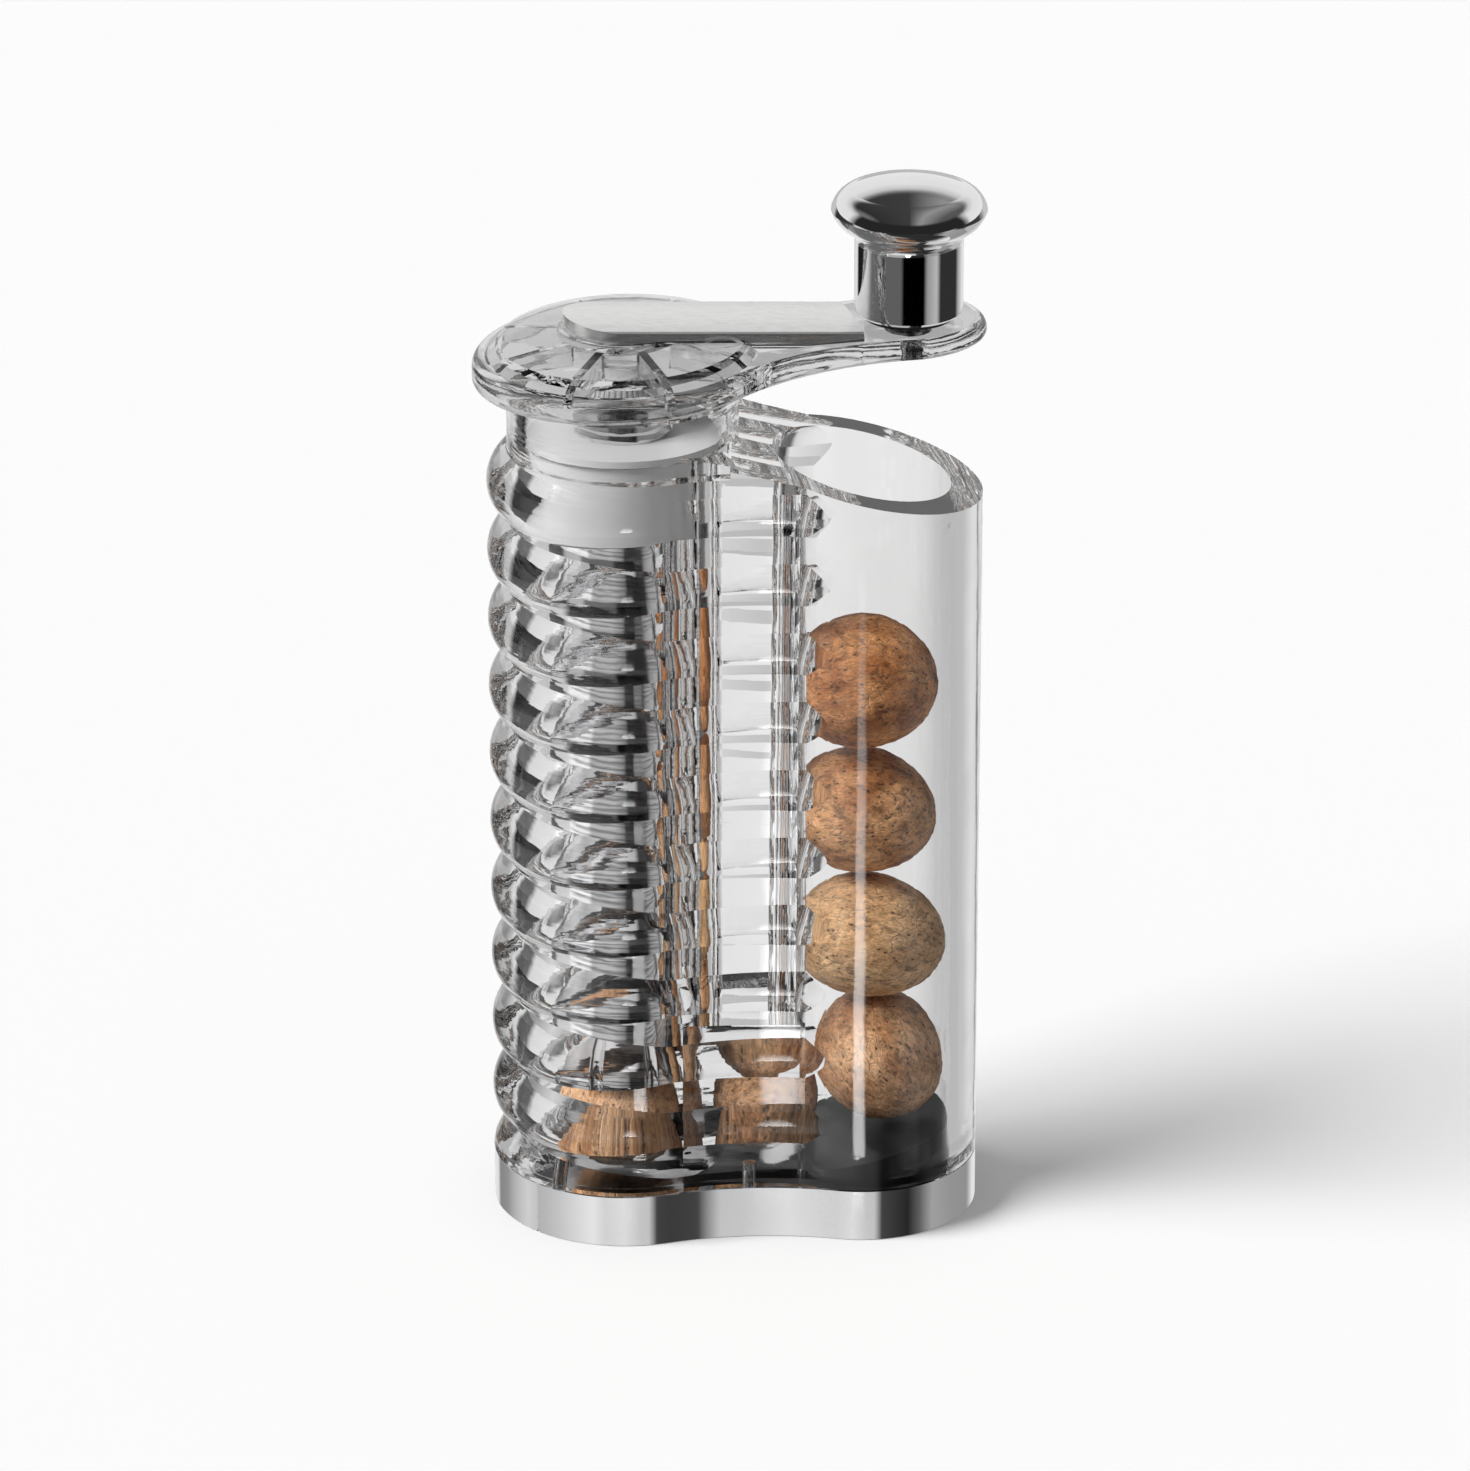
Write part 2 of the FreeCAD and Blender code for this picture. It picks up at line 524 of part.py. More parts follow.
def insert_dome(gap):
    """The low dome on top of the insert."""
    foot = Vector(INSERT_HIGH_R - 0.25 + gap, 0, INSERT_HIGH_Z)
    top = Vector(1.0, 0, INSERT_HIGH_Z + INSERT_DOME + gap)
    middle = Vector(0.74 * foot.x, 0, INSERT_HIGH_Z + 0.5 * INSERT_DOME + gap)
    rest = [Vector(0, 0, top.z), Vector(0, 0, INSERT_HIGH_Z - 0.5), Vector(foot.x, 0, INSERT_HIGH_Z - 0.5)]
    return revolved([arc(foot, middle, top)] + polyline([top] + rest + [foot]))


def hub_insert():
    """Knurled metal cone under the crank's hub. It joins the crank to the spindle."""
    height = INSERT_HIGH_Z - INSERT_LOW_Z
    body = Part.makeCone(INSERT_LOW_R, INSERT_HIGH_R, height, Vector(0, 0, INSERT_LOW_Z))
    grooves = []
    for i in range(KNURLS):
        low, high = on_circle(INSERT_LOW_R, 360 * i / KNURLS), on_circle(INSERT_HIGH_R, 360 * i / KNURLS)
        along = high - low + UP * height
        start = low + UP * INSERT_LOW_Z - along * 0.1
        grooves.append(Part.makeCylinder(0.24, 1.1 * along.Length, start, along))
    bore = cylinder(SPINDLE_R + 0.02, INSERT_LOW_Z - 1, INSERT_HIGH_Z - 0.9)
    return fused([body.cut(Part.makeCompound(grooves)), insert_dome(0)]).cut(bore)


def knob():
    """Bright knob: a flat-topped mushroom on a straight neck, hollow for its sleeve."""
    low, flare, under = ARM_TOP_Z + 0.75, 139.2, 141.0
    foot = [Vector(0, 0, low), Vector(KNOB_NECK_R - 0.4, 0, low), Vector(KNOB_NECK_R, 0, low + 0.4),
            Vector(KNOB_NECK_R, 0, flare)]
    throat = Vector(KNOB_NECK_R + 0.6, 0, under)
    rim = Vector(KNOB_R, 0, KNOB_RIM_Z)
    brow = Vector(0.73 * KNOB_R, 0, KNOB_TOP_Z - 1.3)
    crown = Vector(1.0, 0, KNOB_TOP_Z)
    edges = polyline(foot)
    edges.append(arc(foot[-1], Vector(KNOB_NECK_R + 0.13, 0, flare + 1.0), throat))
    edges.append(arc(throat, Vector(KNOB_R - 0.75, 0, under + 1.5), rim))
    edges.append(arc(rim, Vector(KNOB_R - 0.75, 0, KNOB_RIM_Z + 1.65), brow))
    edges.append(arc(brow, Vector(0.4 * KNOB_R, 0, KNOB_TOP_Z - 0.33), crown))
    edges += polyline([crown, Vector(0, 0, KNOB_TOP_Z), foot[0]])
    solid = revolved(edges).cut(cylinder(KNOB_SLEEVE_R, low - 1, KNOB_SLEEVE_TOP_Z))
    solid.translate(KNOB_AXIS)
    return solid


def knob_sleeve():
    """Plastic bearing pressed into the knob."""
    sleeve = cylinder(KNOB_SLEEVE_R - 0.02, ARM_TOP_Z + 0.85, KNOB_SLEEVE_TOP_Z - 0.1, KNOB_AXIS)
    return sleeve.cut(cylinder(KNOB_PIN_R + RUNNING_GAP, 120, KNOB_SLEEVE_TOP_Z - 1.2, KNOB_AXIS))


def knob_pin():
    """Steel pin through the crank's end, with a groove for its clip."""
    pin = cylinder(KNOB_PIN_R, ARM_LOW_Z - 1.3, KNOB_SLEEVE_TOP_Z - 1.5, KNOB_AXIS)
    return pin.cut(ring(KNOB_PIN_R + 1, KNOB_PIN_R - 0.4, ARM_LOW_Z - 0.75, ARM_LOW_Z - 0.25, KNOB_AXIS))


def knob_pin_clip():
    clip = ring(3.4, KNOB_PIN_R - 0.37, ARM_LOW_Z - 0.7, ARM_LOW_Z - 0.3, KNOB_AXIS)
    return clip.cut(Part.makeBox(6, 2.0, 2, Vector(KNOB_AXIS.x, KNOB_AXIS.y - 1.0, ARM_LOW_Z - 1.5)))


def knob_washer():
    """Dark washer between the crank's end and the knob."""
    return ring(6.2, KNOB_PIN_R + 0.05, ARM_TOP_Z + 0.02, ARM_TOP_Z + 0.6, KNOB_AXIS)


# ---- the base cap ----
def base_cap():
    """Bright tray that pushes up over the foot and catches what falls while the mill stands."""
    tray = bean(0, 0, CAP_H).cut(bean(CAP_WALL, CAP_FLOOR, CAP_H + 2))
    strip = Part.makeBox(0.35, 6.0, CAP_H + 4, Vector(-12.3, -17.5, -2))
    skin = bean(-1, -2, CAP_H + 2).cut(bean(0.35, -3, CAP_H + 3))
    return tray.cut(strip.common(skin))


MAKERS = [
    body_shell, top_bush, bush_washer, bottom_plate, plate_screws, feed_ramp, blade_disc, feed_spring,
    spring_seat, spindle, stop_washer, retaining_clip, nutmeg_holder, plunger_tube, holder_prongs, holder_screw,
    nutmeg_milled, crank_arm, arm_bar, hub_insert, knob_pin, knob_pin_clip, knob_washer, knob, knob_sleeve,
    base_cap,
]


def main():
    os.makedirs("parts", exist_ok=True)
    shapes = {make.__name__: make() for make in MAKERS}
    shapes.update({name: placed_egg(*sizes) for name, sizes in NUTMEGS.items()})
    for name, shape in shapes.items():
        print(f"{name:16s} solids {len(shape.Solids)} valid {shape.isValid()} volume {shape.Volume:.1f}")
        shape.exportStep(f"parts/{name}.step")


main()
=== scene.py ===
# %% [markdown]
# # A hand-cranked nutmeg grater in clear acrylic
#
# The object is a ribbed clear mill column beside a smooth clear column that stores whole nutmegs. A chrome
# cap closes the foot and a clear crank with a chrome knob turns the spindle. The frame, loaded first, is the
# CAD model in metres. Every piece made here takes its place from the frame's own boxes, so nothing is fitted
# by eye, and each one rides on the body that carries it.

# %% Load the frame
import math

import bmesh
import bpy
from mathutils import Matrix, Vector, noise


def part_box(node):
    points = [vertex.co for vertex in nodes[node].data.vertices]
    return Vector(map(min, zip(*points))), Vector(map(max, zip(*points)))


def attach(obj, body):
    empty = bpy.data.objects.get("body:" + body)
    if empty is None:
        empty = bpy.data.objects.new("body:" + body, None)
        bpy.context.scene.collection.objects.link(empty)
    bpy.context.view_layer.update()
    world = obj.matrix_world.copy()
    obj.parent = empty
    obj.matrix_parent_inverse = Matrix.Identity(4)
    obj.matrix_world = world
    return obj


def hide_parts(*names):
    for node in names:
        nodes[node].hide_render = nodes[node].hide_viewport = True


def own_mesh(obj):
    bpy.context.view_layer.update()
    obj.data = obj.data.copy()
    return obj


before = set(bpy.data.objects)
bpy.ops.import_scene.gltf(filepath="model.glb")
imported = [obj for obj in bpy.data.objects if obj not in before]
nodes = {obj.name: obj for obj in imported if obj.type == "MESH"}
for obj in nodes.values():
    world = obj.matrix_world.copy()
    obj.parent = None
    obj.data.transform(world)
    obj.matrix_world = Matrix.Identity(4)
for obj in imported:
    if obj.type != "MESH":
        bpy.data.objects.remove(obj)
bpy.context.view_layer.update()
scene = bpy.context.scene

# %% [markdown]
# ## Camera
#
# A product shot is taken from slightly above with a long lens, which keeps upright edges nearly parallel. The
# camera is placed by an azimuth, an elevation and a distance from one target point, because the elevation alone
# sets how open the object's ellipses look.

# %% Camera
CAMERA_TARGET = Vector((0.015405, 0.0, 0.069927))
CAMERA_AZIMUTH, CAMERA_ELEVATION = math.radians(0.746), math.radians(22.857)
CAMERA_DISTANCE = 1.1999
LENS_MM, SENSOR_MM = 211.0, 36.0

camera = bpy.data.objects.new("camera", bpy.data.cameras.new("camera"))
scene.collection.objects.link(camera)
scene.camera = camera
camera.data.lens, camera.data.sensor_width = LENS_MM, SENSOR_MM
camera.data.clip_start, camera.data.clip_end = 0.05, 50.0
back = Vector((math.sin(CAMERA_AZIMUTH) * math.cos(CAMERA_ELEVATION),
               -math.cos(CAMERA_AZIMUTH) * math.cos(CAMERA_ELEVATION), math.sin(CAMERA_ELEVATION)))
camera.location = CAMERA_TARGET + back * CAMERA_DISTANCE
camera.rotation_mode = "QUATERNION"
camera.rotation_quaternion = (-back).to_track_quat("-Z", "Y")
print("camera at", [round(v, 3) for v in camera.location])

# %% [markdown]
# ## Helpers for nodes
#
# A material is a tree of nodes. Written out call by call it takes many lines, so two small helpers are used:
# one adds a node and fills or links its inputs, the other starts a node group with named sockets.

# %% Node helpers
def add(tree, kind, inputs=None, **settings):
    """Adds a node. Each input takes a plain value, or an output socket to link from."""
    made = tree.nodes.new("ShaderNode" + kind)
    for key, value in settings.items():
        setattr(made, key, value)
    for key, value in (inputs or {}).items():
        if isinstance(value, bpy.types.NodeSocket):
            tree.links.new(value, made.inputs[key])
        else:
            made.inputs[key].default_value = value
    return made


def new_group(name, sockets_in, sockets_out):
    """An empty node group. sockets_in maps a name to its default value, sockets_out a name to its kind."""
    group = bpy.data.node_groups.new(name, "ShaderNodeTree")
    for label, default in sockets_in.items():
        kind = "NodeSocketColor" if isinstance(default, tuple) else "NodeSocketFloat"
        group.interface.new_socket(label, in_out="INPUT", socket_type=kind).default_value = default
    for label, kind in sockets_out.items():
        group.interface.new_socket(label, in_out="OUTPUT", socket_type="NodeSocket" + kind)
    return group, group.nodes.new("NodeGroupInput"), group.nodes.new("NodeGroupOutput")


def use_group(tree, group, inputs):
    """Places a group in a material and fills its inputs."""
    placed = tree.nodes.new("ShaderNodeGroup")
    placed.node_tree = group
    for key, value in inputs.items():
        placed.inputs[key].default_value = value
    return placed


def ramp(tree, fac, stops, mode="LINEAR"):
    """A colour ramp from (position, grey or colour) stops."""
    made = add(tree, "ValToRGB", {"Fac": fac})
    made.color_ramp.interpolation = mode
    elements = made.color_ramp.elements
    while len(elements) < len(stops):
        elements.new(0.5)
    for element, (position, colour) in zip(elements, stops):
        element.position = position
        element.color = (*colour, 1) if isinstance(colour, tuple) else (colour, colour, colour, 1)
    return made.outputs["Color"]


def new_material(name):
    """A material with an empty Principled shader. Returns the material, its tree and the shader."""
    material = bpy.data.materials.new(name)
    material.use_nodes = True
    tree = material.node_tree
    return material, tree, tree.nodes["Principled BSDF"]


print("helpers ready")

# %% [markdown]
# ## Studio
#
# Clear plastic and chrome have no colour of their own: they show the room. In a real studio they are shot
# between white and black cards, which make the dark outlines that let clear acrylic be read against white. So
# the room here has two halves. The diffuse light, which nutmegs and plastics get, is plain: an even sky and
# one soft lamp from the front left. Mirror and glass rays see a ring of glowing cards instead, and above it a
# bright back wall and a dark ceiling.

# %% Sky and lamp
SKY_LEVEL = 0.17
LAMP_LEVEL, LAMP_ANGLE = 3.8, 32
LAMP_SHINES_TO = Vector((0.72, 0.22, -0.66))

world = bpy.data.worlds.new("studio_sky")
scene.world = world
world.use_nodes = True
sky = world.node_tree
sky.nodes.clear()
rays = add(sky, "LightPath")
direction = add(sky, "SeparateXYZ", {"Vector": add(sky, "TexCoord").outputs["Generated"]})
height = add(sky, "MapRange", {"Value": direction.outputs["Z"], "From Min": -1.0, "From Max": 1.0})
behind = ramp(sky, height.outputs["Result"], [(0.0, 0.8), (0.5, 0.85), (0.72, 0.8), (0.78, 0.6), (0.84, 0.06)])
before = ramp(sky, height.outputs["Result"], [(0.0, 0.03), (0.5, 0.02), (0.9, 0.02), (1.0, 0.05)])
to_back = add(sky, "MapRange", {"Value": direction.outputs["Y"], "From Min": -0.1, "From Max": 0.25},
              interpolation_type="SMOOTHSTEP")
walls = add(sky, "Mix", {"Factor": to_back.outputs["Result"], "A": before, "B": behind}, data_type="RGBA")
across = add(sky, "MapRange", {"Value": direction.outputs["X"], "From Min": -1.0, "From Max": 1.0})
ceiling = ramp(sky, across.outputs["Result"], [(0.0, 0.5), (0.2, 0.03), (0.5, 0.05), (0.62, 0.3), (0.8, 0.1)])
to_ceiling = add(sky, "MapRange", {"Value": direction.outputs["Z"], "From Min": 0.55, "From Max": 0.72},
                 interpolation_type="SMOOTHSTEP")
room = add(sky, "Mix", {"Factor": to_ceiling.outputs["Result"], "A": walls.outputs["Result"], "B": ceiling},
           data_type="RGBA")
seen_straight = add(sky, "Math", {0: rays.outputs["Is Glossy Ray"], 1: rays.outputs["Is Transmission Ray"]},
                    operation="MAXIMUM")
plain = add(sky, "Background", {"Color": (1, 1, 1, 1), "Strength": SKY_LEVEL})
cards = add(sky, "Background", {"Color": room.outputs["Result"], "Strength": 1.0})
white = add(sky, "Background", {"Color": (1, 1, 1, 1), "Strength": 1.0})
lit = add(sky, "MixShader", {0: seen_straight.outputs[0], 1: plain.outputs[0], 2: cards.outputs[0]})
shown = add(sky, "MixShader", {0: rays.outputs["Is Camera Ray"], 1: lit.outputs[0], 2: white.outputs[0]})
sky_out = sky.nodes.new("ShaderNodeOutputWorld")
sky.links.new(shown.outputs[0], sky_out.inputs["Surface"])

lamp = bpy.data.objects.new("soft_lamp", bpy.data.lights.new("soft_lamp", "SUN"))
scene.collection.objects.link(lamp)
lamp.data.energy, lamp.data.angle = LAMP_LEVEL, math.radians(LAMP_ANGLE)
lamp.rotation_mode = "QUATERNION"
lamp.rotation_quaternion = LAMP_SHINES_TO.to_track_quat("-Z", "Y")
lamp.visible_glossy = lamp.visible_transmission = False
print("sky level", SKY_LEVEL, "lamp level", LAMP_LEVEL)

# %% [markdown]
# ## Floor
#
# The floor is pale paper. The camera sees it paler than the soft light does, so it looks nearly white and
# still doesn't throw so much light up that the nutmegs lose their shaded side.

# %% Floor
FLOOR_SIZE, FLOOR_Z = 12, -0.0001
FLOOR_SEEN, FLOOR_BOUNCE, FLOOR_LIFT = 0.8, 0.4, 0.2

bpy.ops.mesh.primitive_plane_add(size=FLOOR_SIZE, location=(0, 0, FLOOR_Z))
floor = bpy.context.object
floor.name = "floor"
floor.visible_glossy = floor.visible_transmission = False
paper, tree, shader = new_material("white_paper")
tree.nodes.remove(shader)
seen = add(tree, "LightPath").outputs["Is Camera Ray"]
paleness = add(tree, "Mix", {6: (*[FLOOR_BOUNCE] * 3, 1), 7: (*[FLOOR_SEEN] * 3, 1), 0: seen}, data_type="RGBA")
matt = add(tree, "BsdfDiffuse", {"Color": paleness.outputs[2]})
lift = add(tree, "Emission", {"Strength": add(tree, "Math", {0: seen, 1: FLOOR_LIFT},
                                              operation="MULTIPLY").outputs[0]})
both = add(tree, "AddShader", {0: matt.outputs[0], 1: lift.outputs[0]})
tree.links.new(both.outputs[0], tree.nodes["Material Output"].inputs["Surface"])
floor.data.materials.append(paper)
print("floor set")

# %% [markdown]
# ## Ring of cards
#
# The ring stands round the object at 0.3 m. Each zone of its height has its own cards, given by their azimuth
# from the front, to the right positive. An upright mirror shows the ring at twice the angle of its own normal,
# so a card's place in the ring follows from where its band should stand on the metal.
#
# Rays that met no mirror on their way see the front half of the ring at a plain light level. So the clear
# walls are as light from behind as from the front.

# %% Ring of cards
RING_RADIUS, RING_STEPS = 0.30, 180
RING_CENTRE_X = 0.0166
SEEN_THROUGH = 0.72


def on_ring(radius, azimuth, z):
    """A point round the object, at an azimuth in degrees from the front."""
    angle = math.radians(azimuth)
    return RING_CENTRE_X + radius * math.sin(angle), -radius * math.cos(angle), z


def stage_card(name, mesh):
    """Makes an object of a mesh that only mirror and glass rays see. Returns it with an empty material."""
    data = bpy.data.meshes.new(name)
    mesh.to_mesh(data)
    card = bpy.data.objects.new(name, data)
    scene.collection.objects.link(card)
    material, tree, shader = new_material(name)
    tree.nodes.remove(shader)
    data.materials.append(material)
    card.visible_camera = card.visible_diffuse = card.visible_shadow = False
    return card, tree


def ring_wall(low, high):
    """A plain round wall between two heights."""
    mesh = bmesh.new()
    rows = [[mesh.verts.new(on_ring(RING_RADIUS, i * 360 / RING_STEPS, z)) for i in range(RING_STEPS)]
            for z in (low, high)]
    for i in range(RING_STEPS):
        mesh.faces.new((rows[0][i - 1], rows[0][i], rows[1][i], rows[1][i - 1]))
    return mesh


def card_ring(name, low, high, stops, slats=None):
    """One zone of cards. stops gives (azimuth in degrees, brightness) pairs round the ring. slats gives
    (height share, brightness) pairs for level slats before the front half."""
    wall, tree = stage_card(name, ring_wall(low, high))
    place = add(tree, "SeparateXYZ", {"Vector": add(tree, "NewGeometry").outputs["Position"]})
    east = add(tree, "Math", {0: place.outputs["X"], 1: RING_CENTRE_X}, operation="SUBTRACT")
    north = add(tree, "Math", {0: place.outputs["Y"], 1: -1.0}, operation="MULTIPLY")
    angle = add(tree, "Math", {0: east.outputs[0], 1: north.outputs[0]}, operation="ARCTAN2")
    turn = add(tree, "MapRange", {"Value": angle.outputs[0], "From Min": -math.pi, "From Max": math.pi})
    brightest = max(level for _, level in stops)
    glow = ramp(tree, turn.outputs["Result"],
                [((azimuth + 180) / 360, level / brightest) for azimuth, level in stops])
    before = add(tree, "MapRange", {"Value": north.outputs[0], "From Min": 0.02, "From Max": 0.1})
    if slats:
        share = add(tree, "MapRange", {"Value": place.outputs["Z"], "From Min": low, "From Max": high})
        dimmed = add(tree, "Mix", {0: before.outputs["Result"], 6: (1, 1, 1, 1),
                                   7: ramp(tree, share.outputs["Result"], slats)}, data_type="RGBA")
        glow = add(tree, "Mix", {0: 1.0, 6: glow, 7: dimmed.outputs[2]}, data_type="RGBA",
                   blend_type="MULTIPLY").outputs[2]
    unmirrored = add(tree, "Math", {0: add(tree, "LightPath").outputs["Glossy Depth"], 1: 0.5},
                     operation="LESS_THAN")
    past = add(tree, "Math", {0: unmirrored.outputs[0], 1: before.outputs["Result"]}, operation="MULTIPLY")
    glow = add(tree, "Mix", {0: past.outputs[0], 6: glow, 7: (*[SEEN_THROUGH / brightest] * 3, 1)},
               data_type="RGBA", blend_type="LIGHTEN").outputs[2]
    shine = add(tree, "Emission", {"Color": glow, "Strength": brightest})
    tree.links.new(shine.outputs[0], tree.nodes["Material Output"].inputs["Surface"])
    return wall


card_ring("cards_top", 0.05, 0.16, [
    (-180, 0.5), (-146, 0.6), (-136, 0.03), (-92, 0.05), (-84, 0.6), (-62, 0.6), (-56, 0.12), (-12, 0.12),
    (-6, 0.01), (38, 0.01), (46, 0.4), (68, 0.4), (76, 0.02), (118, 0.05), (136, 0.6), (180, 0.5)])
card_ring("cards_knob", 0.006, 0.05, [
    (-180, 0.55), (-158, 0.75), (-146, 0.8), (-138, 0.012), (-94, 0.012), (-84, 0.5), (-62, 0.5), (-56, 0.12),
    (-14, 0.12), (-7, 0.0), (36, 0.0), (44, 0.32), (64, 0.5), (73, 0.03), (116, 0.03), (126, 0.4), (146, 0.8),
    (160, 0.75), (180, 0.55)])
card_ring("cards_column", -0.12, 0.006, [
    (-180, 0.86), (-160, 0.8), (-150, 0.7), (-144, 0.1), (-122, 0.12), (-114, 0.7), (-86, 0.8), (-80, 1.2),
    (-50, 1.2), (-44, 0.6), (-14, 0.6), (2, 0.3), (7, 0.03), (36, 0.03), (46, 0.4), (70, 0.5), (76, 0.1),
    (104, 0.15), (114, 0.5), (140, 0.5), (156, 0.68), (168, 0.82), (180, 0.86)],
    [(0.0, 0.9), (0.08, 0.3), (0.14, 1.0), (0.2, 1.0), (0.26, 0.25), (0.32, 0.9), (0.4, 0.35), (0.46, 1.0),
     (0.54, 1.0), (0.6, 0.3), (0.68, 0.9), (0.74, 0.9), (0.8, 0.3), (0.88, 1.0), (1.0, 0.6)])
card_ring("cards_foot", -0.30, -0.12, [
    (-180, 0.8), (-146, 0.8), (-138, 0.25), (-122, 0.3), (-108, 0.5), (-92, 0.68), (-76, 0.5), (-60, 0.6),
    (-30, 0.85), (-20, 0.7), (-4, 0.8), (10, 0.62), (17, 0.6), (24, 0.06), (50, 0.02), (62, 0.12), (76, 0.38),
    (100, 0.32), (130, 0.3), (146, 0.8), (180, 0.8)])
print("four zones of cards set")

# %% [markdown]
# ## Strip lamp
#
# A strip lamp close before the ring draws the narrow upright streak down the smooth column. Only the outermost
# gloss shows it: its light leaves out rays that have been through the acrylic.

# %% Strip lamp
STRIP_LEVEL, STRIP_RADIUS = 12.0, 0.29
STRIP_LOW, STRIP_HIGH = -0.118, -0.004


def strip_lamp():
    """A narrow upright lamp, brighter and wider at its foot."""
    mesh = bmesh.new()
    corners = [(-6.0, STRIP_LOW), (9.0, STRIP_LOW), (6.4, STRIP_HIGH), (-2.4, STRIP_HIGH)]
    rim = [mesh.verts.new(on_ring(STRIP_RADIUS, azimuth, z)) for azimuth, z in corners]
    uv_layer = mesh.loops.layers.uv.new("across")
    face = mesh.faces.new(rim)
    for loop, place in zip(face.loops, ((0, 0), (1, 0), (1, 1), (0, 1))):
        loop[uv_layer].uv = place
    strip, tree = stage_card("strip_lamp", mesh)
    outermost = add(tree, "Math", {0: add(tree, "LightPath").outputs["Transmission Depth"], 1: 0.5},
                    operation="LESS_THAN")
    place = add(tree, "SeparateXYZ", {"Vector": add(tree, "UVMap", uv_map="across").outputs["UV"]})
    soft = ramp(tree, place.outputs["X"],
                [(0.0, 0.0), (0.25, 0.9), (0.5, 1.0), (0.75, 0.9), (1.0, 0.0)], "EASE")
    fade = ramp(tree, place.outputs["Y"], [(0.0, 1.0), (0.35, 0.75), (0.7, 0.3), (1.0, 0.02)])
    level = add(tree, "Mix", {0: 1.0, 6: soft, 7: fade}, data_type="RGBA", blend_type="MULTIPLY")
    power = add(tree, "Math", {0: outermost.outputs[0], 1: STRIP_LEVEL}, operation="MULTIPLY")
    shine = add(tree, "Emission", {"Color": level.outputs[2], "Strength": power.outputs[0]})
    clear = add(tree, "BsdfTransparent")
    both = add(tree, "AddShader", {0: shine.outputs[0], 1: clear.outputs[0]})
    tree.links.new(both.outputs[0], tree.nodes["Material Output"].inputs["Surface"])
    return strip


strip_lamp()
print("strip lamp set")

# %% [markdown]
# ## Effects that several finishes share
#
# Real surfaces vary a little. Three effects are used in more than one material, so each is a node group:
# handling marks that change the gloss, fine parallel tool lines, and the slow waves of a moulded surface.

# %% Shared effects
def object_coords(tree, scale):
    """Object coordinates in metres, stretched by scale."""
    source = add(tree, "TexCoord").outputs["Object"]
    return add(tree, "Mapping", {"Vector": source, "Scale": scale}).outputs["Vector"]


marks, start, end = new_group("handling_marks", {"Smooth": 0.05, "Worn": 0.2, "Size": 60.0},
                              {"Roughness": "Float", "Marks": "Float"})
coords = object_coords(marks, (1, 1, 1))
cloud = add(marks, "TexNoise", {"Vector": coords, "Scale": start.outputs["Size"], "Detail": 5.0,
                                "Roughness": 0.6})
specks = add(marks, "TexNoise", {"Vector": coords, "Scale": 2600.0, "Detail": 2.0})
mask = add(marks, "Math", {0: ramp(marks, cloud.outputs["Fac"], [(0.42, 0.0), (0.7, 1.0)]),
                           1: ramp(marks, specks.outputs["Fac"], [(0.35, 0.55), (0.65, 1.0)])},
           operation="MULTIPLY")
gloss = add(marks, "MapRange", {"Value": mask.outputs[0], "To Min": start.outputs["Smooth"],
                                "To Max": start.outputs["Worn"]})
marks.links.new(gloss.outputs["Result"], end.inputs["Roughness"])
marks.links.new(mask.outputs[0], end.inputs["Marks"])


def line_group(name, stretch):
    """Fine parallel lines left by a tool. They are short along the axes with a large stretch."""
    group, start, end = new_group(name, {"Fineness": 900.0, "Contrast": 0.3},
                                  {"Lines": "Float", "Shade": "Float"})
    fine = add(group, "TexNoise", {"Vector": object_coords(group, stretch), "Scale": start.outputs["Fineness"],
                                   "Detail": 3.0, "Roughness": 0.7})
    shade = add(group, "MapRange", {"Value": fine.outputs["Fac"], "From Min": 0.3, "From Max": 0.7,
                                    "To Min": add(group, "Math", {0: 1.0, 1: start.outputs["Contrast"]},
                                                  operation="SUBTRACT").outputs[0], "To Max": 1.0})
    group.links.new(fine.outputs["Fac"], end.inputs["Lines"])
    group.links.new(shade.outputs["Result"], end.inputs["Shade"])
    return group


turned_lines = line_group("turned_lines", (0.04, 0.04, 1.0))
sheet_lines = line_group("sheet_lines", (0.04, 1.0, 1.0))

waves, start, end = new_group("moulded_waves", {"Slow": 90.0, "Grain": 2500.0, "Grain share": 0.1},
                              {"Height": "Float"})
coords = object_coords(waves, (1, 1, 1))
slow = add(waves, "TexNoise", {"Vector": coords, "Scale": start.outputs["Slow"], "Detail": 1.0})
grain = add(waves, "TexNoise", {"Vector": coords, "Scale": start.outputs["Grain"], "Detail": 3.0})
mixed = add(waves, "Mix", {0: start.outputs["Grain share"], 2: slow.outputs["Fac"], 3: grain.outputs["Fac"]})
waves.links.new(mixed.outputs[0], end.inputs["Height"])
print("effects:", [g.name for g in bpy.data.node_groups])

# %% [markdown]
# ## Clear acrylic
#
# Acrylic bends light a little less than glass: its index of refraction is 1.49. A lamp's light can't be
# traced through bent walls by a simple path tracer, so for lamp rays and soft light the surface acts as a thin
# transparent film. That is what lights the nutmegs inside. The camera still sees true refraction. The ribbed
# column also has level flow ripples, which break up what is seen through it.

# %% Clear acrylic
ACRYLIC_INDEX, FILM_CLEARNESS, WAVE_DEPTH = 1.49, 0.99, 0.0004


